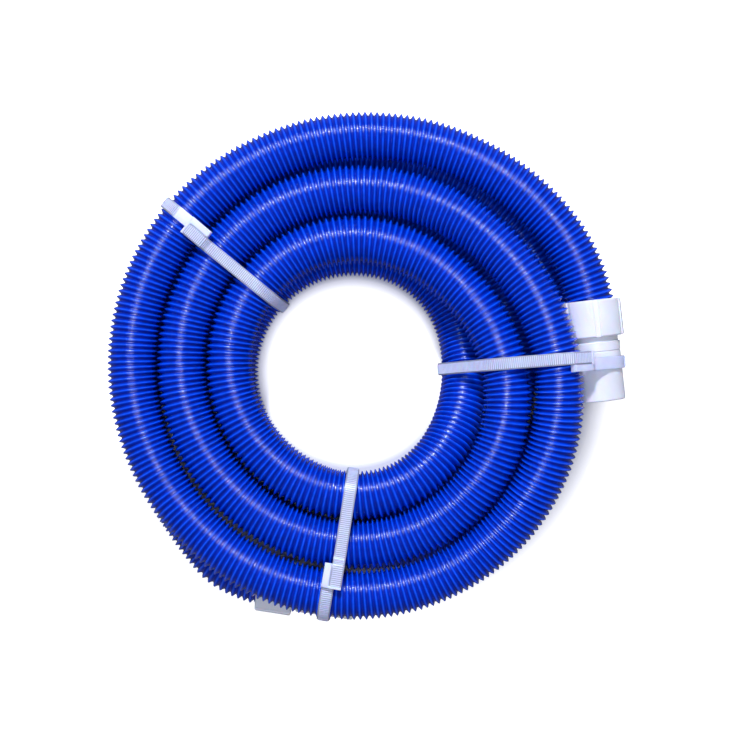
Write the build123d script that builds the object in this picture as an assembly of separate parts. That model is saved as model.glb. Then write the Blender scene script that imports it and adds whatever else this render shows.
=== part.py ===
from build123d import *
import math
import os

# Vacuum hose, coiled and tied for storage. Millimetres, +Z up, the bundle lying flat on Z = 0.
# One 32 mm bore corrugated hose is wound in two layers of flat spiral. It has a swivel cuff
# on each end, and three cable ties hold the bundle.

# ---- hose
HOSE_R = 18.5            # outer radius of the plain tube that stands for the ribbed wall
BORE_R = 16.0            # inner radius of the hose and of both cuffs
GAP = 0.4                # clear space kept round the hose

# ---- cable ties
STRAP_THICK = 1.6
STRAP_WIDTH = 9.4
HEAD_LENGTH = 18.5
HEAD_WIDTH = 15.0
HEAD_HEIGHT = 7.0
HEAD_EDGE = 1.2

# ---- coil: two flat spirals, one on the other, wound inwards below and outwards above
STEPS = 16                                        # route points in one turn
STEP = 360 / STEPS
RUN_SHARE = 0.45                                  # of a run, taken up by a corner's arc
TURN_PITCH = 2 * HOSE_R + 2.5 * GAP               # growth of the radius in one turn
SLANT_ROOM = 0.27                                 # a tie sits lower where the hose climbs in it
LOWER_Z = STRAP_THICK + GAP + SLANT_ROOM + HOSE_R # centre line of the lower layer
UPPER_Z = LOWER_Z + 2 * HOSE_R + 1.25 * GAP       # centre line of the upper layer
START_ANGLE = 248.0                               # direction of the lower end, from above
LOWER_R = 183.6                                   # radius of the lower spiral at its start
UPPER_R = 78.2                                    # radius of the upper spiral, run back to
UPPER_ZERO = 968.0                                # this winding, in degrees from the start
CLIMB = (923.0, 1028.0)                           # winding where the hose changes layer
CLIMB_SLOPE = (935.0, 1035.0)                     # and where its slope begins and ends
TIGHTEST_R = 83.5                                 # the hose isn't wound tighter than this
EASE = 3.0
LOWER_CENTRE = (-3.9, 2.2)                        # the two layers don't share a centre
UPPER_CENTRE = (-7.3, -7.3)
OVAL = 3.0                                        # the upper layer is a little narrower
OVAL_ANGLE = 33.0                                 # along this direction
# local swells, each as size, winding or windings, and reach on each side:
LOOSE_END = (7.5, 2003.0, 75.0)                   # the last turn stands off its neighbour
TUCKED_IN = (-3.0, 1283.0, 60.0)                  # the innermost upper turn is pressed in
BESIDE_CLIMB = (4.6, (235.0, 595.0), 85.0)        # lower turns make room for the climb
BESIDE_CUFF = (-6.5, (353.0, 713.0), 75.0)        # and move in beside the lower cuff
OPEN_START = (2.5, (20.0,), 60.0)                 # the start runs out towards its cuff
OVER_CLIMB = (12.0, 1338.0, 85.0)                 # upper turns rise over the climb,
OVER_CUFF = (23.0, 1682.0, 90.0)                  # over the upper cuff, held by the tie,
OVER_COLLAR = (7.0, 1793.0, 60.0)                 # and over the lower cuff
COIL_POINTS = range(1, 90)                        # route points that the formula gives

# ---- cuffs: where the hose side of each collar is, and the way its mouth points
UPPER_CUFF = ((172.8, 53.3, 58.6), (0.113, -0.994, -0.02))
LOWER_CUFF = ((-84.7, -168.0, 22.8), (0.988, -0.155, 0.0))
UPPER_LEAD = 22.0        # the route's last corner, this far behind the upper collar
LOWER_LEAD = 20.0        # and its first corner, behind the lower collar

# ---- lengths along a cuff, from the hose side of its collar, and radii
COLLAR_R = 22.65
COLLAR_LENGTH = 28.5
COLLAR_EDGE = 1.0
PAD_COUNT = 6
PAD_GROOVE_WIDTH = 3.8
PAD_GROOVE_DEPTH = 1.0
SOCKET_DEPTH = 18.0      # how far the hose is screwed into the collar
WEB_END = 20.5
WASHER_END = 22.3
CHAMBER_R = 20.0
PLAY = 0.1               # end play of the swivel
RUNNING = 0.07           # its radial clearance
LIP_START = WASHER_END + PLAY
LIP_END = LIP_START + 2.5
RING_START = LIP_END + PLAY
RING_END = RING_START + 2.0
RING_SEAT_R = 20.65
RING_SPLIT = 4.0
NECK_R = 17.6
FLANGE_START = 32.3
FLANGE_END = 39.2
FLANGE_R = 18.8
LINE_END = 40.0          # a shallow groove parts the flange from the plain sleeve
LINE_R = 18.0
SLEEVE_R = 18.4
CUFF_LENGTH = 77.5
SOCKET_BORE = 39.5       # depth that a mating spigot can enter
STOP_R = 15.2
MOUTH_EDGE = 0.8

# ---- ties: a point inside the coil, the way the tie points, and its head's distance
CHORDS = 12              # straight pieces that an edge is cut into to find crossings
TIES = {
    "upper_left_tie": ((-17.7, 11.3), 139.9, 143.5),
    "right_tie": ((33.2, -1.9), 3.6, 126.5),
    "bottom_tie": ((-0.8, -17.7), 260.2, 139.5),
}


def bump(value, middle, reach):
    """A smooth hump: 1 at the middle, 0 from reach away."""
    share = abs(value - middle) / reach
    return math.cos(share * math.pi / 2) ** 2 if share < 1 else 0.0


def rise(value, start, end):
    """0 before start and 1 after end, with a smooth slope between."""
    share = min(max((value - start) / (end - start), 0.0), 1.0)
    return share * share * (3 - 2 * share)


def no_tighter(radius):
    """The radius, eased so that it never falls below TIGHTEST_R."""
    return (radius + TIGHTEST_R + math.hypot(radius - TIGHTEST_R, EASE)) / 2


def swells(winding, *kinds):
    """The sum of local swells, each given as size, one or more windings, and reach."""
    return sum(size * bump(winding, middle, reach)
               for size, middles, reach in kinds for middle in middles)


def coil_point(winding):
    """A corner of the coil's route, at winding degrees clockwise from the lower end."""
    angle = math.radians(START_ANGLE - winding)
    climbed = rise(winding, *CLIMB)
    lower = LOWER_R - TURN_PITCH * winding / 360
    lower = no_tighter(lower + swells(winding, BESIDE_CLIMB, BESIDE_CUFF, OPEN_START))
    upper = no_tighter(UPPER_R + TURN_PITCH * (winding - UPPER_ZERO) / 360)
    upper -= OVAL * math.cos(2 * (angle - math.radians(OVAL_ANGLE)))
    radius = lower + (upper - lower) * climbed
    radius += LOOSE_END[0] * bump(winding, *LOOSE_END[1:])
    radius += TUCKED_IN[0] * bump(winding, *TUCKED_IN[1:])
    radius /= math.cos(math.pi / STEPS)
    cx = LOWER_CENTRE[0] + (UPPER_CENTRE[0] - LOWER_CENTRE[0]) * climbed
    cy = LOWER_CENTRE[1] + (UPPER_CENTRE[1] - LOWER_CENTRE[1]) * climbed
    z = LOWER_Z + (UPPER_Z - LOWER_Z) * rise(winding, *CLIMB_SLOPE)
    for size, middle, reach in (OVER_CLIMB, OVER_CUFF, OVER_COLLAR):
        z += size * bump(winding, middle, reach)
    return Vector(cx + radius * math.cos(angle), cy + radius * math.sin(angle), z)


def cuff_plane(cuff):
    """A plane at the hose side of a collar, facing the way the mouth points."""
    return Plane(origin=cuff[0], z_dir=cuff[1])


def on_axis(cuff, along):
    """The point on a cuff's axis, this far from the hose side of its collar."""
    return Vector(*cuff[0]) + Vector(*cuff[1]).normalized() * along


def hose_route():
    """Every corner of the hose's centre line, from the lower collar to the upper one."""
    coil = [coil_point(STEP * step) for step in COIL_POINTS]
    start = [on_axis(LOWER_CUFF, SOCKET_DEPTH), on_axis(LOWER_CUFF, -LOWER_LEAD)]
    end = [on_axis(UPPER_CUFF, -UPPER_LEAD), on_axis(UPPER_CUFF, SOCKET_DEPTH)]
    return start + coil + end


def corner_radii(route):
    """The largest arc that each corner's two runs allow."""
    radii = []
    for before, corner, after in zip(route, route[1:], route[2:]):
        half_turn = math.radians((corner - before).get_angle(after - corner) / 2)
        shorter = min((corner - before).length, (after - corner).length)
        radii.append(RUN_SHARE * shorter / math.tan(half_turn))
    return radii


def middle(a, b):
    return (a + b) * 0.5


def hose_tube(path):
    """A plain hollow tube along the path."""
    section = Plane(origin=path @ 0, z_dir=path % 0) * (Circle(HOSE_R) - Circle(BORE_R))
    return sweep(section, path=path)


def turned(cuff, outline):
    """A solid of revolution about a cuff's axis, from (along, radius) points."""
    profile = Plane.XZ * make_face(Polyline(*[(r, along) for along, r in outline], close=True))
    return cuff_plane(cuff) * revolve(profile, Axis.Z)


def collar(cuff):
    """The gripped collar: hose socket, web, and the chamber that the swivel lip turns in."""
    body = turned(cuff, [
        (0, HOSE_R), (0, COLLAR_R - COLLAR_EDGE), (COLLAR_EDGE, COLLAR_R),
        (COLLAR_LENGTH - COLLAR_EDGE, COLLAR_R), (COLLAR_LENGTH, COLLAR_R - COLLAR_EDGE),
        (COLLAR_LENGTH, CHAMBER_R), (RING_END, CHAMBER_R), (RING_END, RING_SEAT_R),
        (RING_START, RING_SEAT_R), (RING_START, CHAMBER_R), (WEB_END, CHAMBER_R),
        (WEB_END, BORE_R), (SOCKET_DEPTH, BORE_R), (SOCKET_DEPTH, HOSE_R)])
    groove = Pos(COLLAR_R, 0, COLLAR_LENGTH / 2) * Box(
        2 * PAD_GROOVE_DEPTH, PAD_GROOVE_WIDTH, 2 * COLLAR_LENGTH)
    for number in range(PAD_COUNT):
        body -= cuff_plane(cuff) * Rot(0, 0, (number + 0.5) * 360 / PAD_COUNT) * groove
    return body


def sleeve(cuff):
    """The part that turns: retained lip, neck, flange and the plain sleeve with its socket."""
    stop = CUFF_LENGTH - SOCKET_BORE
    return turned(cuff, [
        (LIP_START, STOP_R), (LIP_START, CHAMBER_R - RUNNING), (LIP_END, CHAMBER_R - RUNNING),
        (LIP_END, NECK_R), (FLANGE_START, NECK_R), (FLANGE_START, FLANGE_R),
        (FLANGE_END, FLANGE_R), (FLANGE_END, LINE_R), (LINE_END, LINE_R), (LINE_END, SLEEVE_R),
        (CUFF_LENGTH - MOUTH_EDGE, SLEEVE_R), (CUFF_LENGTH, SLEEVE_R - MOUTH_EDGE),
        (CUFF_LENGTH, BORE_R + MOUTH_EDGE), (CUFF_LENGTH - MOUTH_EDGE, BORE_R),
        (stop, BORE_R), (stop, STOP_R)])


def washer(cuff):
    """The flat rubber washer between the collar's web and the swivel lip."""
    return turned(cuff, [
        (WEB_END, BORE_R), (WEB_END, CHAMBER_R - PLAY), (WASHER_END, CHAMBER_R - PLAY),
        (WASHER_END, BORE_R)])


def retaining_ring(cuff):
    """The split ring that snaps into the collar and keeps the lip in."""
    ring = turned(cuff, [
        (RING_START, NECK_R + RUNNING), (RING_START, RING_SEAT_R), (RING_END, RING_SEAT_R),
        (RING_END, NECK_R + RUNNING)])
    split = Pos(RING_SEAT_R, 0, RING_START) * Box(
        2 * (RING_SEAT_R - NECK_R), RING_SPLIT, 4 * (RING_END - RING_START))
    return ring - cuff_plane(cuff) * split


def crossings(paths, origin, normal, outward):
    """Where centre lines cross a tie's plane, on the tie's side of the coil, and how squarely."""
    found = []
    for path in paths:
        for edge in path.edges():
            points = [edge @ (share / CHORDS) for share in range(CHORDS + 1)]
            for a, b in zip(points, points[1:]):
                side_a = (a - origin).dot(normal)
                side_b = (b - origin).dot(normal)
                if side_a * side_b <= 0 and side_a != side_b:
                    hit = a + (b - a) * (side_a / (side_a - side_b))
                    if (hit - origin).dot(outward) > 0:
                        found.append((hit, abs((b - a).normalized().dot(normal))))
    return found


def height_at(outline, along):
    """The height of the upper side of a tie's outline at a distance along the tie."""
    heights = []
    for edge in outline.edges():
        points = [edge @ (share / (2 * CHORDS)) for share in range(2 * CHORDS + 1)]
        for a, b in zip(points, points[1:]):
            if min(a.X, b.X) <= along <= max(a.X, b.X) and a.X != b.X:
                heights.append(a.Y + (b.Y - a.Y) * (along - a.X) / (b.X - a.X))
    return max(heights)


def cable_tie(paths, place, direction, head_at):
    """A strap pulled tight round every turn and cuff that it crosses, and its head."""
    outward = Vector(1, 0, 0).rotate(Axis.Z, direction)
    normal = outward.cross(Vector(0, 0, 1))
    origin = Vector(*place, 0)
    rounds = []
    for shift in (-STRAP_WIDTH / 2, 0, STRAP_WIDTH / 2):
        shifted = origin + normal * shift
        for hit, square in crossings(paths, shifted, normal, outward):
            rounds.append(((hit - shifted).dot(outward), hit.Z, HOSE_R / square))
        for cuff in (UPPER_CUFF, LOWER_CUFF):
            axis_line = Polyline(on_axis(cuff, FLANGE_START), on_axis(cuff, CUFF_LENGTH))
            for hit, square in crossings([axis_line], shifted, normal, outward):
                rounds.append(((hit - shifted).dot(outward), hit.Z, FLANGE_R / square))
    circles = [Pos(along, z) * Circle(radius + GAP) for along, z, radius in rounds]
    inner = make_hull([circle.edge() for circle in circles])
    outer = offset(inner, amount=STRAP_THICK)

    reach = HEAD_LENGTH / 2
    back, front = height_at(outer, head_at - reach), height_at(outer, head_at + reach)
    slope = math.degrees(math.atan2(front - back, 2 * reach))
    head = Pos(head_at, (back + front) / 2) * Rot(0, 0, slope) * Pos(0, HEAD_HEIGHT / 2) * Box(
        HEAD_LENGTH, HEAD_HEIGHT, HEAD_WIDTH)
    head = fillet(head.edges(), HEAD_EDGE)
    plane = Plane(origin=origin, x_dir=outward, z_dir=normal)
    strap = extrude(plane * (outer - inner), amount=STRAP_WIDTH / 2, both=True)
    return strap + plane * head


def hose_paths():
    """The centre lines of the lower end, the coil and the upper end."""
    route = hose_route()
    radii = corner_radii(route)
    print("cord radii:", ", ".join(f"{radius:.0f}" for radius in radii))
    first = middle(route[2], route[3])
    last = middle(route[-4], route[-3])
    return [
        FilletPolyline(*route[:3], first, radius=radii[:2]),
        FilletPolyline(first, *route[3:-3], last, radius=radii[2:-2]),
        FilletPolyline(last, *route[-3:], radius=radii[-2:]),
    ]


os.makedirs("parts", exist_ok=True)

paths = hose_paths()
parts = {name: hose_tube(path) for name, path in zip(
    ("hose_lower_end", "hose_coil", "hose_upper_end"), paths)}
for end, cuff in (("upper", UPPER_CUFF), ("lower", LOWER_CUFF)):
    parts[f"{end}_collar"] = collar(cuff)
    parts[f"{end}_sleeve"] = sleeve(cuff)
    parts[f"{end}_washer"] = washer(cuff)
    parts[f"{end}_retaining_ring"] = retaining_ring(cuff)
for name, (place, direction, head_at) in TIES.items():
    parts[name] = cable_tie(paths, place, direction, head_at)

for name, part in parts.items():
    export_step(part, f"parts/{name}.step")

box = Compound([solid for part in parts.values() for solid in part.solids()]).bounding_box()
print("hose length:", round(sum(path.length for path in paths)))
print("box:", box.min, box.max)
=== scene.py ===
# %% [markdown]
# # A coiled pool vacuum hose, tied for the shelf
# The object is about 4.8 m of ribbed plastic hose with a white swivel cuff at each end. It is wound
# into two flat spirals, one lying on the other, and held by three nylon cable ties. The imported model
# gives the frame: its numbers place every cuff and tie, and the looks are built round them. So the
# lesson starts by loading that frame and keeping its overall box, which later sets the floor's height.

# %% Load the frame
import math

import bmesh
import bpy
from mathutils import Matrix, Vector, geometry


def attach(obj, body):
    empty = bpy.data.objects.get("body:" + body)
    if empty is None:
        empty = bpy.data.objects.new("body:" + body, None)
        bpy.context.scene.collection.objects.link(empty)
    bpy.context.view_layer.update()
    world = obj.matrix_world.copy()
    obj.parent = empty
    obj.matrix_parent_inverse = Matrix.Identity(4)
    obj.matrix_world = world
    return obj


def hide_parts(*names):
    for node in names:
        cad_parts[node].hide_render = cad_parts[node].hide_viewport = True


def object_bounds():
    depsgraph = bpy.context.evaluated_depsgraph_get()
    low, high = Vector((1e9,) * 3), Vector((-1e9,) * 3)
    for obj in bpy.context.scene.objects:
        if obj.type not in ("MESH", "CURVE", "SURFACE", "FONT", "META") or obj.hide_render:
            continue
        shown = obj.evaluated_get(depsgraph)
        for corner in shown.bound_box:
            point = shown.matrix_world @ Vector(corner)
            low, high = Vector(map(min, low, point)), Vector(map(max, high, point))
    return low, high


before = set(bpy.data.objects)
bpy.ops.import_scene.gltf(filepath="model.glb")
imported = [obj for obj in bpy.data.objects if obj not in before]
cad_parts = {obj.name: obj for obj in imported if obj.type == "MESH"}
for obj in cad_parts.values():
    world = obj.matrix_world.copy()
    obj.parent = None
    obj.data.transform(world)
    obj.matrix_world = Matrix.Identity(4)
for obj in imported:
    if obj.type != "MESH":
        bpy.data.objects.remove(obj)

cad_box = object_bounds()
print("frame box:", [[round(x, 4) for x in corner] for corner in cad_box])

# %% [markdown]
# ## Two helpers for every node tree
# Blender keeps both materials and Geometry Nodes as trees of nodes. One function adds a node, sets its
# properties and joins its inputs, so that a tree reads like a list of steps. Colours are written as
# the sRGB hex that a paint program shows, and turned to the linear light that the renderer adds up.

# %% The helpers
def add(tree, kind, *wires, to=None, **settings):
    """A new node: settings are its properties, wires and to are links or values for its inputs."""
    node = tree.nodes.new(kind)
    for name, value in settings.items():
        setattr(node, name, value)
    for key, wire in [*enumerate(wires), *(to or {}).items()]:
        wire = wire.outputs[0] if isinstance(wire, bpy.types.Node) else wire
        if isinstance(wire, bpy.types.NodeSocket):
            tree.links.new(wire, node.inputs[key])
        elif wire is not None:
            node.inputs[key].default_value = wire
    return node


def linear(hexa):
    """An sRGB hex colour such as 1A4FE0 as linear red, green, blue and an alpha of 1."""
    shares = [int(hexa[i:i + 2], 16) / 255 for i in (0, 2, 4)]
    return (*[s / 12.92 if s <= 0.04045 else ((s + 0.055) / 1.055) ** 2.4 for s in shares], 1.0)


MM = 0.001
print("white is", linear("FFFFFF"))

# %% [markdown]
# ## The camera looks straight down
# The coil lies flat and is seen from above, a little more than a metre up. A 69 mm lens at that
# distance draws the coil without much perspective, yet the upper layer hides most of the lower one.

# %% Camera
camera = bpy.data.objects.new("camera", bpy.data.cameras.new("camera"))
camera.location = (0.0056, -0.0024, 1.158)
camera.data.lens = 69.0
camera.data.sensor_width = 36.0
bpy.context.collection.objects.link(camera)
bpy.context.scene.camera = camera
print("camera height:", camera.location.z)

# %% [markdown]
# ## The centre line
# Everything on the hose follows one smooth line. Its control points come from the rule that the coil
# was designed with: a spiral inwards on the floor, a climb at the innermost turn, and a spiral
# outwards on top, with a few local swells where a turn leans out or rides over a cuff. A NURBS
# spline with these points as its control points is smooth everywhere, like a hose that was bent by
# hand. Its order is set after the points are added, or Blender would draw straight runs.

# %% Numbers that the coil and its cuffs share, in millimetres and degrees
HOSE_R, BORE_R, GAP = 18.5, 16.0, 0.4
STRAP_THICK, STRAP_WIDTH = 1.6, 9.4
STEPS = 16
STEP = 360 / STEPS
TURN_PITCH = 2 * HOSE_R + 2.5 * GAP
LOWER_Z = STRAP_THICK + GAP + 0.27 + HOSE_R
UPPER_Z = LOWER_Z + 2 * HOSE_R + 1.25 * GAP
START_ANGLE, LOWER_R, UPPER_R, UPPER_ZERO = 248.0, 183.6, 78.2, 968.0
CLIMB, CLIMB_SLOPE = (923.0, 1028.0), (935.0, 1035.0)
TIGHTEST_R, EASE = 83.5, 3.0
LOWER_CENTRE, UPPER_CENTRE = (-3.9, 2.2), (-7.3, -7.3)
OVAL, OVAL_ANGLE = 3.0, 33.0
LOOSE_END, TUCKED_IN = (7.5, 2003.0, 75.0), (-3.0, 1283.0, 60.0)
BESIDE_CLIMB, BESIDE_CUFF = (4.6, (235.0, 595.0), 85.0), (-6.5, (353.0, 713.0), 75.0)
OPEN_START = (2.5, (20.0,), 60.0)
OVER_CLIMB, OVER_CUFF, OVER_COLLAR = (12.0, 1338.0, 85.0), (23.0, 1682.0, 90.0), (7.0, 1793.0, 60.0)
COIL_POINTS = range(1, 90)
CREST_R = 18.95
UPPER_CUFF = ((172.8, 53.3, 58.6), (0.113, -0.994, -0.02))
LOWER_CUFF = ((-84.7, -168.0, 22.8), (0.988, -0.155, 0.0))
UPPER_LEAD, LOWER_LEAD, SOCKET_DEPTH = 22.0, 20.0, 18.0
print("turns lie", TURN_PITCH, "mm apart, layers", round(UPPER_Z - LOWER_Z, 2), "mm")


# %% The rule of the coil
def bump(value, middle, reach):
    share = abs(value - middle) / reach
    return math.cos(share * math.pi / 2) ** 2 if share < 1 else 0.0


def rise(value, start, end):
    share = min(max((value - start) / (end - start), 0.0), 1.0)
    return share * share * (3 - 2 * share)


def no_tighter(radius):
    return (radius + TIGHTEST_R + math.hypot(radius - TIGHTEST_R, EASE)) / 2


def swells(winding, *kinds):
    return sum(size * bump(winding, middle, reach)
               for size, middles, reach in kinds for middle in middles)


def coil_point(winding):
    angle = math.radians(START_ANGLE - winding)
    climbed = rise(winding, *CLIMB)
    lower = LOWER_R - TURN_PITCH * winding / 360
    lower = no_tighter(lower + swells(winding, BESIDE_CLIMB, BESIDE_CUFF, OPEN_START))
    upper = no_tighter(UPPER_R + TURN_PITCH * (winding - UPPER_ZERO) / 360)
    upper -= OVAL * math.cos(2 * (angle - math.radians(OVAL_ANGLE)))
    radius = lower + (upper - lower) * climbed
    radius += LOOSE_END[0] * bump(winding, *LOOSE_END[1:])
    radius += TUCKED_IN[0] * bump(winding, *TUCKED_IN[1:])
    radius /= math.cos(math.pi / STEPS)
    centre = [a + (b - a) * climbed for a, b in zip(LOWER_CENTRE, UPPER_CENTRE)]
    z = LOWER_Z + (UPPER_Z - LOWER_Z) * rise(winding, *CLIMB_SLOPE)
    z += sum(size * bump(winding, middle, reach)
             for size, middle, reach in (OVER_CLIMB, OVER_CUFF, OVER_COLLAR))
    return Vector((centre[0] + radius * math.cos(angle), centre[1] + radius * math.sin(angle), z))


def on_axis(cuff, along):
    """The point on a cuff's axis, this far from the hose side of its collar, in millimetres."""
    return Vector(cuff[0]) + Vector(cuff[1]).normalized() * along


# %% The NURBS line
corners = [on_axis(LOWER_CUFF, SOCKET_DEPTH), on_axis(LOWER_CUFF, -LOWER_LEAD)]
corners += [coil_point(STEP * step) for step in COIL_POINTS]
corners += [on_axis(UPPER_CUFF, -UPPER_LEAD), on_axis(UPPER_CUFF, SOCKET_DEPTH)]

line_data = bpy.data.curves.new("centre_line", "CURVE")
line_data.dimensions = "3D"
spline = line_data.splines.new("NURBS")
spline.points.add(len(corners) - 1)
for point, corner in zip(spline.points, corners):
    point.co = (*(corner * MM), 1.0)
spline.order_u = 3
spline.use_endpoint_u = True
spline.resolution_u = 24
centre_line = bpy.data.objects.new("centre_line", line_data)
bpy.context.collection.objects.link(centre_line)
bpy.context.view_layer.update()

plain = bpy.data.meshes.new_from_object(centre_line)
line = [v.co.copy() for v in plain.vertices]
bpy.data.meshes.remove(plain)
hose_length = sum((b - a).length for a, b in zip(line, line[1:]))
print("route corners:", len(corners), " hose length:", round(hose_length, 3), "m")

# %% [markdown]
# ## The materials
# Four plastics and a rubber. Each is a Principled shader whose colour and roughness, and on the hose
# and the cuffs also the bump, vary at a scale taken from the real surface, because even new plastic is
# never perfectly even.

# %% A material to start from
def plastic(name, ior=1.5, **sockets):
    """A new node material with its shader, which sockets such as Coat_Weight=0.2 are set on."""
    made = bpy.data.materials.new(name)
    made.use_nodes = True
    shader = made.node_tree.nodes["Principled BSDF"]
    shader.inputs["IOR"].default_value = ior
    for socket, value in sockets.items():
        shader.inputs[socket.replace("_", " ")].default_value = value
    return made, made.node_tree, shader


def stops(ramp, *pairs):
    """Sets a colour ramp's stops from (position, hex) pairs."""
    bar = ramp.color_ramp
    while len(bar.elements) < len(pairs):
        bar.elements.new(0.5)
    for element, (position, hexa) in zip(bar.elements, pairs):
        element.position, element.color = position, linear(hexa)
    return ramp


# %% [markdown]
# ### Extruded EVA, ultramarine
# The hose is a ribbon of EVA plastic, wound hot round a mandrel. The pigment is a deep ultramarine,
# and the skin is glossy where it left the die. The colour is painted light and shade: the rib height,
# stored on the mesh as an attribute, drives it from a painted dark navy shade in the valleys to a
# lighter blue on the crests. Faint streaks a few millimetres wide come from uneven cooling.

# %% The hose's plastic
eva, tree, shader = plastic("extruded_eva_ultramarine", Coat_Weight=0.35, Coat_Roughness=0.16)
place = add(tree, "ShaderNodeTexCoord").outputs["Object"]
ribs = add(tree, "ShaderNodeAttribute", attribute_name="rib_height").outputs["Fac"]
# painted light and shade: dark navy where the rib height is low, in the valleys, lighter blue on the crests
colour = stops(add(tree, "ShaderNodeValToRGB", ribs),
               (0.0, "001C8C"), (0.35, "002EAE"), (0.75, "0040D2"), (1.0, "0A52E6"))
streaks = add(tree, "ShaderNodeTexNoise", to={"Vector": place, "Scale": 160.0, "Detail": 3.0})
drift = add(tree, "ShaderNodeMapRange", streaks.outputs["Fac"], 0.3, 0.7, 0.86, 1.1)
worn = add(tree, "ShaderNodeHueSaturation", to={"Value": drift, "Color": colour})
tree.links.new(worn.outputs[0], shader.inputs["Base Color"])
shine = add(tree, "ShaderNodeMapRange", streaks.outputs["Fac"], 0.3, 0.7, 0.15, 0.21)
tree.links.new(shine.outputs[0], shader.inputs["Roughness"])
ripple = add(tree, "ShaderNodeTexNoise", to={"Vector": place, "Scale": 900.0, "Detail": 2.0})
bumps = add(tree, "ShaderNodeBump", to={
    "Height": ripple.outputs["Fac"], "Strength": 0.12, "Distance": 0.0004})
tree.links.new(bumps.outputs[0], shader.inputs["Normal"])
print(eva.name, "has", len(tree.nodes), "nodes")

# %% [markdown]
# ### Moulded ABS, white
# The cuffs are injection moulded in white ABS. A steel mould with a fine spark finish gives a satin
# surface: a grain of about a third of a millimetre in the bump, and a slightly uneven gloss.

# %% The cuffs' plastic
abs_white, tree, shader = plastic("moulded_abs_white", ior=1.53, Subsurface_Weight=0.3,
                                  Subsurface_Scale=0.0012)
place = add(tree, "ShaderNodeTexCoord").outputs["Object"]
cloud = add(tree, "ShaderNodeTexNoise", to={"Vector": place, "Scale": 60.0, "Detail": 3.0})
colour = stops(add(tree, "ShaderNodeValToRGB", cloud.outputs["Fac"]), (0.3, "D4D6DE"), (0.7, "DBDDE4"))
tree.links.new(colour.outputs[0], shader.inputs["Base Color"])
shine = add(tree, "ShaderNodeMapRange", cloud.outputs["Fac"], 0.3, 0.7, 0.34, 0.46)
tree.links.new(shine.outputs[0], shader.inputs["Roughness"])
grain = add(tree, "ShaderNodeTexNoise", to={"Vector": place, "Scale": 3000.0, "Detail": 1.0})
bumps = add(tree, "ShaderNodeBump", to={
    "Height": grain.outputs["Fac"], "Strength": 0.1, "Distance": 0.0002})
tree.links.new(bumps.outputs[0], shader.inputs["Normal"])
print(abs_white.name, "has", len(tree.nodes), "nodes")

# %% [markdown]
# ### Natural nylon
# Cable ties are moulded in uncoloured nylon 6/6. It is milky: light goes in, scatters and comes out
# about a millimetre away, so the shader mixes subsurface scattering with a little transmission, and
# the blue of the hose glows through the thin strap. Between its teeth the strap is painted half as
# bright, a painted shade in the gaps: the mesh carries an attribute that is 1 on the teeth and on
# plain parts, and 0 between them.

# %% The ties' nylon
nylon, tree, shader = plastic("moulded_nylon_natural", ior=1.53, Subsurface_Weight=0.3,
                              Subsurface_Scale=0.001, Transmission_Weight=0.3)
place = add(tree, "ShaderNodeTexCoord").outputs["Object"]
cloud = add(tree, "ShaderNodeTexNoise", to={"Vector": place, "Scale": 90.0, "Detail": 3.0})
colour = stops(add(tree, "ShaderNodeValToRGB", cloud.outputs["Fac"]), (0.3, "DADEFF"), (0.7, "E6EAFF"))
# painted shade: where tooth_top is 0, between the teeth, the colour is darkened to half
teeth = add(tree, "ShaderNodeAttribute", attribute_name="tooth_top").outputs["Fac"]
tooth_gap_shade = add(tree, "ShaderNodeMapRange", teeth, 0.0, 1.0, 0.5, 1.0)
shaded = add(tree, "ShaderNodeHueSaturation", to={"Value": tooth_gap_shade, "Color": colour})
tree.links.new(shaded.outputs[0], shader.inputs["Base Color"])
shine = add(tree, "ShaderNodeMapRange", cloud.outputs["Fac"], 0.3, 0.7, 0.3, 0.45)
tree.links.new(shine.outputs[0], shader.inputs["Roughness"])
print(nylon.name, "has", len(tree.nodes), "nodes")

# %% [markdown]
# ### Rubber and acetal, inside the cuffs
# The washer is black nitrile rubber, dull and slightly dusty. The retaining ring is natural acetal,
# whiter and slicker than nylon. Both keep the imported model's shapes and only need a finish.

# %% The washer's rubber and the ring's acetal
rubber, tree, shader = plastic("pressed_nitrile_black", ior=1.52)
place = add(tree, "ShaderNodeTexCoord").outputs["Object"]
dust = add(tree, "ShaderNodeTexNoise", to={"Vector": place, "Scale": 700.0, "Detail": 3.0})
colour = stops(add(tree, "ShaderNodeValToRGB", dust.outputs["Fac"]), (0.35, "101012"), (0.75, "26262A"))
tree.links.new(colour.outputs[0], shader.inputs["Base Color"])
shine = add(tree, "ShaderNodeMapRange", dust.outputs["Fac"], 0.3, 0.7, 0.6, 0.8)
tree.links.new(shine.outputs[0], shader.inputs["Roughness"])

acetal, tree, shader = plastic("turned_acetal_natural", ior=1.48, Subsurface_Weight=0.1,
                               Subsurface_Scale=0.001)
place = add(tree, "ShaderNodeTexCoord").outputs["Object"]
marks = add(tree, "ShaderNodeTexNoise", to={"Vector": place, "Scale": 1200.0, "Detail": 2.0})
colour = stops(add(tree, "ShaderNodeValToRGB", marks.outputs["Fac"]), (0.3, "E4E3DC"), (0.7, "F0EFEA"))
tree.links.new(colour.outputs[0], shader.inputs["Base Color"])
shine = add(tree, "ShaderNodeMapRange", marks.outputs["Fac"], 0.3, 0.7, 0.25, 0.35)
tree.links.new(shine.outputs[0], shader.inputs["Roughness"])
print("materials:", [m.name for m in (eva, abs_white, nylon, rubber, acetal)])

# %% [markdown]
# ## Geometry Nodes, and how a tree becomes a plain mesh
# A Geometry Nodes tree is a recipe with named sizes. The helper below gives a new tree its inputs,
# and the next one lets an object run it once and keeps only the mesh that comes out. An input is set
# by its socket's identifier, before the object is first evaluated.

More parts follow.
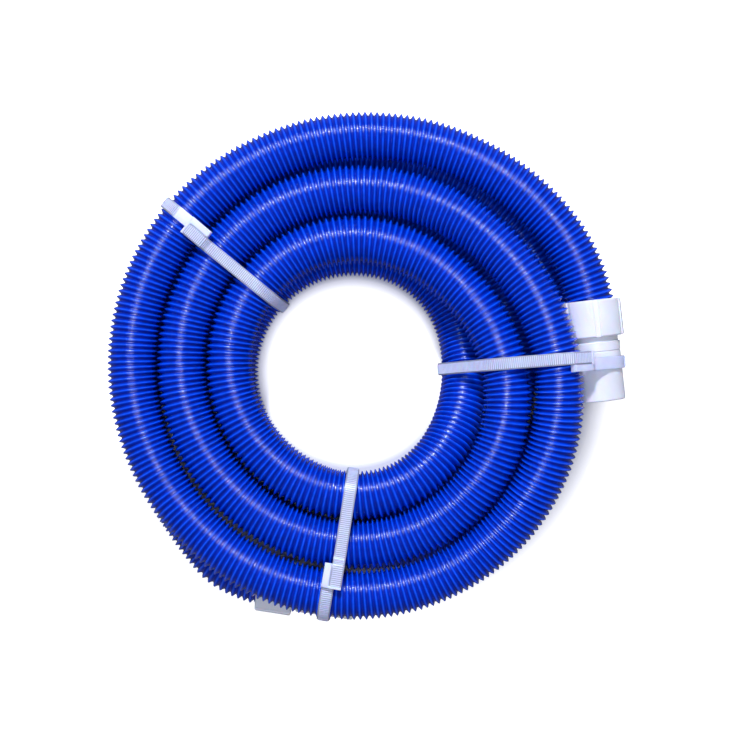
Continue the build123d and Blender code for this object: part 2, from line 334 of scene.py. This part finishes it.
# %% Making and running a tree
def new_recipe(name, sizes):
    """A Geometry Nodes tree with named inputs, from {name: (socket type, default)}, and those inputs."""
    recipe = bpy.data.node_groups.new(name, "GeometryNodeTree")
    for size, (kind, default) in sizes.items():
        socket = recipe.interface.new_socket(size, in_out="INPUT", socket_type="NodeSocket" + kind)
        if default is not None:
            socket.default_value = default
    recipe.interface.new_socket("Geometry", in_out="OUTPUT", socket_type="NodeSocketGeometry")
    return recipe, add(recipe, "NodeGroupInput").outputs


def grown(name, recipe, values, base=None):
    """The plain mesh object that a recipe makes with these values, starting from base's data."""
    seed = bpy.data.objects.new(name, base or bpy.data.meshes.new(name))
    bpy.context.collection.objects.link(seed)
    modifier = seed.modifiers.new("recipe", "NODES")
    modifier.node_group = recipe
    for item in recipe.interface.items_tree:
        if item.in_out == "INPUT" and item.name in values:
            modifier[item.identifier] = values[item.name]
    bpy.context.view_layer.update()
    mesh = bpy.data.meshes.new_from_object(seed.evaluated_get(bpy.context.evaluated_depsgraph_get()))
    bpy.data.objects.remove(seed)
    mesh.name = name
    piece = bpy.data.objects.new(name, mesh)
    bpy.context.collection.objects.link(piece)
    return piece


def healed(piece):
    """Closes the open edge loops of a piece and turns its faces outwards."""
    work = bmesh.new()
    work.from_mesh(piece.data)
    rims = [edge for edge in work.edges if edge.is_boundary]
    if rims:
        bmesh.ops.holes_fill(work, edges=rims, sides=0)
    bmesh.ops.recalc_face_normals(work, faces=work.faces)
    open_edges = sum(not edge.is_manifold for edge in work.edges)
    work.to_mesh(piece.data)
    work.free()
    triangles = sum(len(face.vertices) - 2 for face in piece.data.polygons)
    print(f"{piece.name}: {triangles} triangles, {open_edges} open edges")
    return piece


# %% [markdown]
# ## The ribbed hose
# The hose is one long thread: a rib that winds round the bore with a pitch of a little over 4 mm. A
# row of points goes once round the hose, and each next row lies an eighth of a rib further on. The
# points of a row are shifted along the hose by up to one pitch as they go round, so every row runs
# along the thread and the crest is always exactly on a row. The rows then turn back through the bore
# and meet the first one, which closes the wall. Modelling it as a wound grid, and not as a bump
# texture, gives the saw-tooth outline that one sees along every edge of the coil.

# %% The recipe for a wound wall
wall, given = new_recipe("wound_wall", {
    "Centre line": ("Object", None), "Start": ("Float", 0.0), "Pitch": ("Float", 0.004),
    "Ribs": ("Int", 10), "Steps": ("Int", 8), "Around": ("Int", 40),
    "Thread": ("Float", 1.0), "Crest radius": ("Float", 0.019), "Depth": ("Float", 0.003),
    "Sharpness": ("Float", 0.85), "Bore radius": ("Float", 0.0155), "Material": ("Material", None)})
INT, MATH, VECTOR = "FunctionNodeIntegerMath", "ShaderNodeMath", "ShaderNodeVectorMath"

# which row and column each point of the grid is in
columns = add(wall, INT, given["Around"], 1, operation="ADD")
outer_rows = add(wall, INT, given["Ribs"], given["Steps"], operation="MULTIPLY")
last_row = add(wall, INT, add(wall, INT, outer_rows, given["Ribs"], operation="ADD"), 2, operation="ADD")
rows = add(wall, INT, last_row, 1, operation="ADD")
grid = add(wall, "GeometryNodeMeshGrid", 1.0, 1.0, rows, columns)
index = add(wall, "GeometryNodeInputIndex")
row = add(wall, INT, add(wall, INT, index, columns, operation="DIVIDE"), last_row, operation="MODULO")
column = add(wall, INT, index, columns, operation="MODULO")

# how many ribs along the hose the row is, outside and in the bore
in_bore = add(wall, "FunctionNodeCompare", to={2: row, 3: outer_rows}, data_type="INT",
              operation="GREATER_THAN")
ribs_out = add(wall, MATH, row, given["Steps"], operation="DIVIDE")
rows_in = add(wall, INT, add(wall, INT, row, outer_rows, operation="SUBTRACT"), 1, operation="SUBTRACT")
ribs_in = add(wall, INT, given["Ribs"], rows_in, operation="SUBTRACT")
ribs = add(wall, "GeometryNodeSwitch", in_bore, ribs_out, ribs_in, input_type="FLOAT")

# the radius there: a wave whose valley is rounder than its crest
wave = add(wall, MATH, add(wall, MATH, ribs, math.tau, operation="MULTIPLY"), operation="COSINE")
wave = add(wall, MATH, add(wall, MATH, wave, 0.5, 0.5, operation="MULTIPLY_ADD"), 0.0, operation="MAXIMUM")
fall = add(wall, MATH, wave, given["Sharpness"], operation="POWER")
outside = add(wall, MATH, given["Crest radius"], add(wall, MATH, given["Depth"], fall, operation="MULTIPLY"),
              operation="SUBTRACT")
radius = add(wall, "GeometryNodeSwitch", in_bore, outside, given["Bore radius"], input_type="FLOAT")

# the length along the centre line, less as the thread winds round
turn = add(wall, MATH, column, given["Around"], operation="DIVIDE")
shift = add(wall, MATH, given["Thread"], turn, operation="MULTIPLY")
wound = add(wall, MATH, ribs, shift, operation="SUBTRACT")
length = add(wall, MATH, wound, given["Pitch"], given["Start"], operation="MULTIPLY_ADD")
route = add(wall, "GeometryNodeObjectInfo", given["Centre line"])
at = add(wall, "GeometryNodeSampleCurve", to={
    "Curves": route.outputs["Geometry"], "Length": length}, mode="LENGTH")
tangent = at.outputs["Tangent"]
side = add(wall, VECTOR, add(wall, VECTOR, tangent, (0, 0, 1), operation="CROSS_PRODUCT"),
           operation="NORMALIZE")
up = add(wall, VECTOR, side, tangent, operation="CROSS_PRODUCT")
angle = add(wall, MATH, turn, 2 * math.pi, -math.pi / 2, operation="MULTIPLY_ADD")
across = add(wall, MATH, add(wall, MATH, angle, operation="COSINE"), radius, operation="MULTIPLY")
above = add(wall, MATH, add(wall, MATH, angle, operation="SINE"), radius, operation="MULTIPLY")
aside = add(wall, VECTOR, side, to={"Scale": across}, operation="SCALE")
upward = add(wall, VECTOR, up, to={"Scale": above}, operation="SCALE")
offset = add(wall, VECTOR, aside, upward, operation="ADD")
spot = add(wall, VECTOR, at.outputs["Position"], offset, operation="ADD")

# bend the grid to those places, close its seam, and keep the rib height for the material
height = add(wall, MATH, 1.0, fall, operation="SUBTRACT")
height = add(wall, "GeometryNodeSwitch", in_bore, height, 0.35, input_type="FLOAT")
bent = add(wall, "GeometryNodeSetPosition", grid, to={"Position": spot})
# the hose's material turns this stored rib height into painted shade in the valleys
tagged = add(wall, "GeometryNodeStoreNamedAttribute", bent, to={"Name": "rib_height", "Value": height})
seamed = add(wall, "GeometryNodeMergeByDistance", tagged, to={"Distance": 0.00002})
smooth = add(wall, "GeometryNodeSetShadeSmooth", seamed)
solid = add(wall, "GeometryNodeRealizeInstances", smooth)
finished = add(wall, "GeometryNodeSetMaterial", solid, to={"Material": given["Material"]})
add(wall, "NodeGroupOutput", finished)
print(wall.name, "has", len(wall.nodes), "nodes")

# %% Five lengths of ribbed skin, with the joins hidden in a valley
RIB_PITCH, RIB_DEPTH, SKIN_BORE_R, SECTIONS = 4.27, 2.95, 15.7, 5
section_ribs = 2 * round((hose_length / MM - RIB_PITCH) / RIB_PITCH / SECTIONS / 2)
pitch = hose_length / (section_ribs * SECTIONS + 1)
skins = []
for number in range(SECTIONS):
    skin = grown(f"hose_skin_{number + 1}", wall, {
        "Centre line": centre_line, "Start": pitch * (1 + number * section_ribs), "Pitch": pitch,
        "Ribs": section_ribs, "Crest radius": CREST_R * MM, "Depth": RIB_DEPTH * MM,
        "Bore radius": SKIN_BORE_R * MM, "Material": eva})
    skins.append(healed(skin))
print("rib pitch:", round(pitch / MM, 3), "mm, ribs:", section_ribs * SECTIONS)

# %% The smooth lining that dirt and water run through
LINING_PITCH, LINING_R, LINING_BORE_R = 6.0, 15.6, 15.2
lining_rows = round(hose_length / MM / LINING_PITCH)
lining = healed(grown("hose_lining", wall, {
    "Centre line": centre_line, "Start": 0.0, "Pitch": hose_length / lining_rows, "Ribs": lining_rows,
    "Steps": 1, "Around": 28, "Thread": 0.0, "Crest radius": LINING_R * MM, "Depth": 0.0,
    "Bore radius": LINING_BORE_R * MM, "Material": eva}))

# %% [markdown]
# ## The swivel cuffs
# Each cuff is a gripped collar that is screwed on the hose, and a sleeve that turns in it. Both are
# bodies of revolution, so the outline of one half, as distances along the axis and radii, says the
# whole shape, with the sockets and the chamber inside too. A mould never leaves a knife edge: every
# corner of the outline gets a small arc, which catches a thin line of light. The collar's six grip
# grooves are cut by lowering its outside where they run, with closely spaced points at their walls.

# %% Outlines with small arcs
COLLAR_R, COLLAR_LENGTH, COLLAR_EDGE = 22.65, 28.5, 1.0
GROOVES, GROOVE_DEPTH = 6, 1.0
WEB_END, CHAMBER_R = 20.5, 20.0
LIP_START, LIP_END, LIP_R = 22.4, 24.9, 19.93
RING_START, RING_END, RING_SEAT_R = 25.0, 27.0, 20.65
NECK_R, FLANGE_START, FLANGE_END, FLANGE_R = 17.6, 32.3, 39.2, 18.8
LINE_END, LINE_R, SLEEVE_R, CUFF_LENGTH, STOP, STOP_R = 40.0, 18.0, 18.4, 77.5, 38.0, 15.2
MOUTH_EDGE, HOSE_FIT, SOFT = 0.8, 0.6, 0.35


def softened(outline, size):
    """A closed outline whose corners are arcs of about this size, with points to hold the sides flat."""
    soft = []
    for before, corner, after in zip(outline[-1:] + outline, outline, outline[1:] + outline[:1]):
        before, corner, after = Vector(before), Vector(corner), Vector(after)
        arc = min(size, 0.3 * (before - corner).length, 0.3 * (after - corner).length)
        start, end = [corner + (other - corner).normalized() * arc for other in (before, after)]
        soft.append(start + (start - corner) * 0.5)
        for share in (0, 0.33, 0.67, 1):
            soft.append(start * (1 - share) ** 2 + corner * 2 * share * (1 - share) + end * share ** 2)
        soft.append(end + (end - corner) * 0.5)
    return soft


# %% A body of revolution about a cuff's axis
def groove_angles():
    """Angles round the collar with how deep the grip grooves are there, from 0 to 1.

    walls says the same across one groove, in millimetres from its middle.
    """
    walls = [(-2.7, 0), (-2.15, 0), (-2.0, 0.12), (-1.85, 0.88), (-1.7, 1), (-1.0, 1), (0, 1)]
    walls += [(-away, share) for away, share in reversed(walls[:-1])]
    found = []
    for number in range(GROOVES):
        middle = math.tau * number / GROOVES
        found += [(middle + away / COLLAR_R, share) for away, share in walls]
        found += [(middle + math.tau / GROOVES * step / 9, 0) for step in range(2, 8)]
    return found


def turned(name, cuff, outline, angles, material):
    """A closed ring from an outline in millimetres. angles are (angle, groove share), from the top."""
    axis = Vector(cuff[1]).normalized()
    flat = axis.cross(Vector((0, 0, 1))).normalized()
    top = flat.cross(axis)
    origin = Vector(cuff[0])
    points, faces = [], []
    for angle, share in angles:
        outward = top * math.cos(angle) + flat * math.sin(angle)
        deepest = COLLAR_R - GROOVE_DEPTH * share if share else 1000.0
        points += [(origin + axis * along + outward * min(radius, deepest)) * MM
                   for along, radius in outline]
    size, turns = len(outline), len(angles)
    for k in range(turns):
        a, b = k * size, (k + 1) % turns * size
        faces += [(a + j, a + (j + 1) % size, b + (j + 1) % size, b + j) for j in range(size)]
    mesh = bpy.data.meshes.new(name)
    mesh.from_pydata(points, [], faces)
    mesh.materials.append(material)
    mesh.shade_smooth()
    piece = bpy.data.objects.new(name, mesh)
    bpy.context.collection.objects.link(piece)
    return healed(piece)


collar_outline = softened([
    (0, HOSE_R + HOSE_FIT), (0, COLLAR_R - COLLAR_EDGE), (COLLAR_EDGE, COLLAR_R),
    (COLLAR_LENGTH - COLLAR_EDGE, COLLAR_R), (COLLAR_LENGTH, COLLAR_R - COLLAR_EDGE),
    (COLLAR_LENGTH, CHAMBER_R), (RING_END, CHAMBER_R), (RING_END, RING_SEAT_R),
    (RING_START, RING_SEAT_R), (RING_START, CHAMBER_R), (WEB_END, CHAMBER_R),
    (WEB_END, BORE_R), (SOCKET_DEPTH + 0.2, BORE_R), (SOCKET_DEPTH + 0.2, HOSE_R + HOSE_FIT)], SOFT)
sleeve_outline = softened([
    (LIP_START, STOP_R), (LIP_START, LIP_R), (LIP_END, LIP_R), (LIP_END, NECK_R),
    (FLANGE_START, NECK_R), (FLANGE_START, FLANGE_R), (FLANGE_END, FLANGE_R),
    (FLANGE_END + 0.1, LINE_R), (LINE_END - 0.1, LINE_R), (LINE_END, SLEEVE_R),
    (CUFF_LENGTH - MOUTH_EDGE, SLEEVE_R), (CUFF_LENGTH, SLEEVE_R - MOUTH_EDGE),
    (CUFF_LENGTH, BORE_R + MOUTH_EDGE), (CUFF_LENGTH - MOUTH_EDGE, BORE_R),
    (STOP, BORE_R), (STOP, STOP_R)], SOFT)
round_angles = [(math.tau * k / 96, 0) for k in range(96)]
collars, sleeves = {}, {}
for end, cuff in (("upper", UPPER_CUFF), ("lower", LOWER_CUFF)):
    collars[end] = turned(f"{end}_grip_collar", cuff, collar_outline, groove_angles(), abs_white)
    sleeves[end] = turned(f"{end}_swivel_sleeve", cuff, sleeve_outline, round_angles, abs_white)

# %% [markdown]
# ## The cable ties
# A tie is pulled tight, so seen from its edge it is the outline of a rubber band stretched round
# every turn that it crosses. The centre line says where each turn crosses the tie's plane, each
# crossing is a circle as wide as the hose, and the convex hull of the circles is the band. The strap
# enters its head beside its own root, so it runs a little askew, by a third of the head's width.

# %% The line that a tie's strap follows
TIES = {"upper_left": ((-17.7, 11.3), 139.9, 143.5), "right": ((33.2, -1.9), 3.6, 126.5),
        "bottom": ((-0.8, -17.7), 260.2, 139.5)}
HEAD_LENGTH, HEAD_WIDTH, HEAD_HEIGHT, SKEW = 18.5, 15.0, 4.6, 5.4


def crossings(runs, origin, normal, outward):
    """Where runs of points cross a tie's plane on its side of the coil, and how squarely."""
    found = []
    for a, b in runs:
        side_a, side_b = (a - origin).dot(normal), (b - origin).dot(normal)
        if side_a * side_b <= 0 and side_a != side_b:
            hit = a + (b - a) * (side_a / (side_a - side_b))
            if (hit - origin).dot(outward) > 0:
                found.append((hit, abs((b - a).normalized().dot(normal))))
    return found


def tie_band(place, direction):
    """The tie's outward, sideways and origin vectors, and its band as (distance, height) points."""
    outward = Vector((math.cos(math.radians(direction)), math.sin(math.radians(direction)), 0))
    normal = outward.cross(Vector((0, 0, 1)))
    origin = Vector((*place, 0))
    hose = [point / MM for point in line]
    circles = []
    for shift in (-STRAP_WIDTH / 2, 0, STRAP_WIDTH / 2):
        shifted = origin + normal * shift
        for hit, square in crossings(zip(hose, hose[1:]), shifted, normal, outward):
            circles.append(((hit - shifted).dot(outward), hit.z, CREST_R / square))
        for cuff in (UPPER_CUFF, LOWER_CUFF):
            axis_run = [(on_axis(cuff, FLANGE_START), on_axis(cuff, CUFF_LENGTH))]
            for hit, square in crossings(axis_run, shifted, normal, outward):
                circles.append(((hit - shifted).dot(outward), hit.z, FLANGE_R / square + GAP))
    dots = [(x + r * math.cos(k * math.tau / 120), z + r * math.sin(k * math.tau / 120))
            for x, z, r in circles for k in range(120)]
    band = [Vector(dots[k]) for k in geometry.convex_hull_2d(dots)]
    return outward, normal, origin, band


def strap_line(place, direction, head_at):
    """Points along the middle of the strap, from its root in the head to its tail on top of it."""
    outward, normal, origin, band = tie_band(place, direction)
    tops = [(a, b) for a, b in zip(band, band[1:] + band[:1])
            if min(a.x, b.x) <= head_at <= max(a.x, b.x) and a.x != b.x]
    high = max((a.y + (b.y - a.y) * (head_at - a.x) / (b.x - a.x), (b - a).normalized())
               for a, b in tops)
    slope = high[1] if high[1].x > 0 else -high[1]
    seat = Vector((head_at, high[0]))
    lift = Vector((-slope.y, slope.x))
    centre = sum(band, Vector((0, 0))) / len(band)
    around = sorted(band, key=lambda p: (math.atan2(seat.y - centre.y, seat.x - centre.x)
                                         - math.atan2(p.y - centre.y, p.x - centre.x)) % math.tau)
    reach = HEAD_LENGTH / 2 + 5
    around = [p for p in around if (p - seat).length > reach]
    path = [seat + slope * step for step in (0, HEAD_LENGTH / 2, HEAD_LENGTH / 2 + 3)]
    path += around + [seat - slope * (HEAD_LENGTH / 2 + 4)]
    lengths = [0.0]
    for a, b in zip(path, path[1:]):
        lengths.append(lengths[-1] + (b - a).length)
    half = STRAP_THICK / 2
    points = []
    for k, (spot, run) in enumerate(zip(path, lengths)):
        way = (path[min(k + 1, len(path) - 1)] - path[max(k - 1, 0)]).normalized()
        out = Vector((-way.y, way.x)) * (half + 0.05)
        aside = SKEW * (0.5 - run / lengths[-1])
        points.append((spot + out, aside))
    tail = seat + lift * (HEAD_HEIGHT + half - 0.5)
    points += [(tail - slope * (HEAD_LENGTH / 2 - 0.6), -SKEW / 2),
               (tail + slope * (HEAD_LENGTH / 2 - 1.2), -SKEW / 2)]
    solid = [(origin + outward * spot.x + Vector((0, 0, spot.y)) + normal * aside) * MM
             for spot, aside in points]
    head = [origin + outward * seat.x + Vector((0, 0, seat.y)), outward * slope.x + Vector((0, 0, slope.y)),
            outward * lift.x + Vector((0, 0, lift.y)), normal]
    return solid, normal, head


# %% [markdown]
# ### The strap's section and its teeth
# The strap is a rectangle with softened edges, carried along its line. The teeth are small bars, one
# every 1.5 mm, laid on the outside of the strap by Geometry Nodes: the line is cut into steps of one
# tooth, and a bar is put on each step, turned to the strap's direction. The first stretch after the
# root has no teeth, because the tie's own pawl never reaches it.

# %% The recipe for a strap
BAR_SHARE = 0.55
strap, given = new_recipe("toothed_strap", {
    "Thickness": ("Float", 0.0013), "Width": ("Float", 0.0094), "Edge": ("Float", 0.0004),
    "Tooth pitch": ("Float", 0.0015), "Tooth height": ("Float", 0.0011),
    "Tooth width": ("Float", 0.0074), "Smooth length": ("Float", 0.03),
    "Across": ("Vector", (0, 1, 0)), "Material": ("Material", None)})
path_in = strap.interface.new_socket("Line", in_out="INPUT", socket_type="NodeSocketGeometry")
strap.interface.move(path_in, 0)
source = add(strap, "NodeGroupInput").outputs["Line"]
curve = add(strap, "GeometryNodeMeshToCurve", source)
step_line = add(strap, "GeometryNodeResampleCurve", to={"Curve": curve, "Length": 0.0026}, mode="LENGTH")
tangent = add(strap, "GeometryNodeInputTangent")
outward = add(strap, VECTOR, add(strap, VECTOR, given["Across"], tangent, operation="CROSS_PRODUCT"),
              operation="NORMALIZE")
faced = add(strap, "GeometryNodeSetCurveNormal", step_line, to={"Normal": outward}, mode="FREE")
run = add(strap, "GeometryNodeSplineParameter").outputs["Length"]
toothed = add(strap, "FunctionNodeCompare", run, given["Smooth length"], operation="GREATER_THAN")
plain_part = add(strap, MATH, 1.0, toothed, operation="SUBTRACT")
# tooth_top is 1 on the plain part and on the bars, so the material paints shade only between the teeth
faced = add(strap, "GeometryNodeStoreNamedAttribute", faced, to={
    "Name": "tooth_top", "Value": plain_part})
box = add(strap, "GeometryNodeCurvePrimitiveQuadrilateral", to={
    "Width": given["Thickness"], "Height": given["Width"]})
section = add(strap, "GeometryNodeFilletCurve", to={
    "Curve": box, "Count": 3, "Radius": given["Edge"]}, mode="POLY")
band = add(strap, "GeometryNodeCurveToMesh", to={
    "Curve": faced, "Profile Curve": section, "Fill Caps": True})
tooth_line = add(strap, "GeometryNodeResampleCurve", to={
    "Curve": curve, "Length": given["Tooth pitch"]}, mode="LENGTH")
bar = add(strap, "GeometryNodeMeshCube", to={"Vertices X": 2, "Vertices Y": 2, "Vertices Z": 2})
bar = add(strap, "GeometryNodeStoreNamedAttribute", bar, to={"Name": "tooth_top", "Value": 1.0})
turn = add(strap, "FunctionNodeAxesToRotation", tangent, outward, primary_axis="X", secondary_axis="Z")
bar_length = add(strap, MATH, given["Tooth pitch"], BAR_SHARE, operation="MULTIPLY")
sized = add(strap, "ShaderNodeCombineXYZ", bar_length, given["Tooth width"], given["Tooth height"])
to_face = add(strap, MATH, given["Thickness"], 0.5, operation="MULTIPLY")
shift = add(strap, VECTOR, outward, to={"Scale": to_face}, operation="SCALE")
raised = add(strap, "GeometryNodeSetPosition", tooth_line, to={"Offset": shift})
teeth = add(strap, "GeometryNodeInstanceOnPoints", to={
    "Points": raised, "Selection": toothed, "Instance": bar, "Rotation": turn, "Scale": sized})
joined = add(strap, "GeometryNodeJoinGeometry", band)
strap.links.new(teeth.outputs[0], joined.inputs[0])
solid = add(strap, "GeometryNodeRealizeInstances", joined)
finished = add(strap, "GeometryNodeSetMaterial", solid, to={"Material": given["Material"]})
add(strap, "NodeGroupOutput", finished)
print(strap.name, "has", len(strap.nodes), "nodes")


# %% The three straps and their heads
def rounded_block(name, blocks, head, bevel):
    """One mesh of bevelled boxes, each as ranges along the head's own directions: along, lift, across."""
    origin, along, lift, across = head
    work = bmesh.new()
    for ranges in blocks:
        made = bmesh.ops.create_cube(work, size=1.0)["verts"]
        for vert in made:
            spot = [low + (high - low) * (c + 0.5) for c, (low, high) in zip(vert.co, ranges)]
            vert.co = (origin + along * spot[0] + lift * spot[1] + across * spot[2]) * MM
    bmesh.ops.recalc_face_normals(work, faces=work.faces)
    bmesh.ops.bevel(work, geom=work.edges[:], offset=bevel * MM, segments=3, profile=0.6, affect="EDGES")
    mesh = bpy.data.meshes.new(name)
    work.to_mesh(mesh)
    work.free()
    mesh.shade_smooth()
    tops = mesh.attributes.new("tooth_top", "FLOAT", "POINT")
    tops.data.foreach_set("value", [1.0] * len(mesh.vertices))
    mesh.materials.append(nylon)
    piece = bpy.data.objects.new(name, mesh)
    bpy.context.collection.objects.link(piece)
    return healed(piece)


SMOOTH_RUN, HEAD_SOFT = {"upper_left": 22.0, "right": 48.0, "bottom": 6.0}, 0.45
ties = {}
for name, (place, direction, head_at) in TIES.items():
    points, normal, head = strap_line(place, direction, head_at)
    mesh = bpy.data.meshes.new(f"{name}_strap_line")
    mesh.from_pydata(points, [(k, k + 1) for k in range(len(points) - 1)], [])
    band_piece = grown(f"{name}_tie_strap", strap, {
        "Across": normal, "Smooth length": SMOOTH_RUN[name] * MM, "Material": nylon}, base=mesh)
    half = HEAD_LENGTH / 2
    side = HEAD_WIDTH / 2
    inner = STRAP_WIDTH / 2 - SKEW / 2 + 0.3
    head_piece = rounded_block(f"{name}_tie_head", [
        ((-half, half), (0.1, HEAD_HEIGHT), (-side, side)),
        ((-half + 0.4, half - 0.4), (1.0, HEAD_HEIGHT + 1.0), (inner, side - 0.3)),
        ((half - 2.0, half), (1.0, HEAD_HEIGHT + 2.0), (-side, inner + 0.4))], head, HEAD_SOFT)
    ties[name] = (band_piece, head_piece)
    print(name, "strap:", round(sum((b - a).length for a, b in zip(points, points[1:])) / MM), "mm")

# %% [markdown]
# ## Floor and light
# A plain pale floor and soft studio light. A small panel on the far side, halfway up, casts the
# shadows. A wider one in the same place is only mirrored, and gives the glints: on ribbed plastic it
# shows as a row of short dashes, so its place decides where they run. A weak panel overhead fills
# the shadows without a mirror image, and the room is dim, though the camera sees it bright. The
# floor is white paper on a light table. It glows for the camera and is dark in mirror images, which
# keeps the background pale without washing out the ribs beside it, and the glow is masked off where
# the coil lies, so that none of it shows between the turns.

# %% The floor
GLOW, GLOW_STARTS, GLOW_FULL = 0.9, 0.18, 0.2
HOLE_MIDDLE, HOLE_FULL, HOLE_ENDS = (-0.011, -0.002, 0), 0.068, 0.078
FLOOR_HALF, UNDER = 6.0, 0.0001
floor_mesh = bpy.data.meshes.new("floor")
height = min([corner[2] for corner in cad_box] + [0.0]) - UNDER
square = ((-1, -1), (1, -1), (1, 1), (-1, 1))
floor_mesh.from_pydata([(x * FLOOR_HALF, y * FLOOR_HALF, height) for x, y in square], [], [(0, 1, 2, 3)])
floor = bpy.data.objects.new("floor", floor_mesh)
bpy.context.collection.objects.link(floor)
paper, tree, shader = plastic("matt_paper_white", Roughness=0.9)
shader.inputs["Emission Color"].default_value = linear("FFFFFF")
place = add(tree, "ShaderNodeTexCoord").outputs["Object"]
away = add(tree, "ShaderNodeVectorMath", place, (0, 0, 0), operation="DISTANCE").outputs["Value"]
glow = add(tree, "ShaderNodeMapRange", away, GLOW_STARTS, GLOW_FULL, 0.0, GLOW)
middle = add(tree, "ShaderNodeVectorMath", place, HOLE_MIDDLE, operation="DISTANCE").outputs["Value"]
inside = add(tree, "ShaderNodeMapRange", middle, HOLE_FULL, HOLE_ENDS, GLOW, 0.0)
both = add(tree, "ShaderNodeMath", glow, inside, operation="ADD")
ray = add(tree, "ShaderNodeLightPath").outputs
share = add(tree, "ShaderNodeMapRange", ray["Is Camera Ray"], 0.0, 1.0, 0.05, 0.8)
strength = add(tree, "ShaderNodeMath", both, share, operation="MULTIPLY")
white = add(tree, "ShaderNodeMapRange", ray["Is Glossy Ray"], 0.0, 1.0, 0.75, 0.08)
tree.links.new(white.outputs[0], shader.inputs["Base Color"])
tree.links.new(strength.outputs[0], shader.inputs["Emission Strength"])
floor_mesh.materials.append(paper)
print("floor height:", round(height, 5), "m")


# %% The lights
def panel(name, place, size, power, mirrored=True, lighting=True, colour="ECEFFF"):
    """A soft, slightly cool square light aimed at the coil, for mirror images, for lighting, or both."""
    light = bpy.data.objects.new(name, bpy.data.lights.new(name, "AREA"))
    light.data.size, light.data.energy, light.data.color = size, power, linear(colour)[:3]
    light.location = place
    light.visible_glossy, light.visible_diffuse = mirrored, lighting
    light.rotation_euler = (COIL_MIDDLE - Vector(place)).to_track_quat("-Z", "Y").to_euler()
    bpy.context.collection.objects.link(light)


COIL_MIDDLE, FAR_SIDE = Vector((0, 0, 0.04)), (-0.25, 1.5, 1.95)
panel("main", FAR_SIDE, 0.22, 68.0)
panel("glint", FAR_SIDE, 1.5, 110.0, lighting=False, colour="C4E2FF")
panel("overhead", (0.1, -0.25, 2.0), 1.1, 24.0, mirrored=False)
world = bpy.data.worlds.new("soft_room")
world.use_nodes = True
world.node_tree.nodes["Background"].inputs["Color"].default_value = linear("F4F6FF")
ray = add(world.node_tree, "ShaderNodeLightPath").outputs
strength = add(world.node_tree, "ShaderNodeMapRange", ray["Is Camera Ray"], 0.0, 1.0, 0.15, 1.0)
world.node_tree.links.new(strength.outputs[0], world.node_tree.nodes["Background"].inputs["Strength"])
bpy.context.scene.world = world
bpy.context.scene.view_settings.view_transform = "Standard"
print("lights:", [lamp.name for lamp in bpy.data.lights])

# %% [markdown]
# ## Handing the pieces to the frame
# Each piece rides on the body that it moves with, and where it stands for an imported node, that
# node is hidden. Only the two sleeves turn: the rest is one body. The hose's skin, cuffs and ties are
# gathered in a list of the pieces on it.

# %% Bodies, and the pieces on the hose
def joins(piece, body, slot, *nodes):
    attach(piece, body)
    if nodes:
        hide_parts(*nodes)


for skin in skins:
    joins(skin, "root", "hose_blue")
joins(lining, "root", "hose_blue", "hose_lower_end", "hose_coil", "hose_upper_end")
on_hose = list(skins)
for end in ("upper", "lower"):
    joins(collars[end], "root", "cuff_white", f"{end}_collar")
    joins(sleeves[end], f"{end}_sleeve", "cuff_white", f"{end}_sleeve")
    on_hose += [collars[end], sleeves[end]]
    for node, finish in ((f"{end}_washer", rubber), (f"{end}_retaining_ring", acetal)):
        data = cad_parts[node].data
        data.materials.clear()
        data.materials.append(finish)
        on_hose.append(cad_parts[node])
for name, (band_piece, head_piece) in ties.items():
    joins(band_piece, "root", "tie_nylon", f"{name}_tie")
    joins(head_piece, "root", "tie_nylon")
    on_hose += [band_piece, head_piece]
bpy.data.objects.remove(centre_line)
print("pieces on the hose:", len(on_hose))
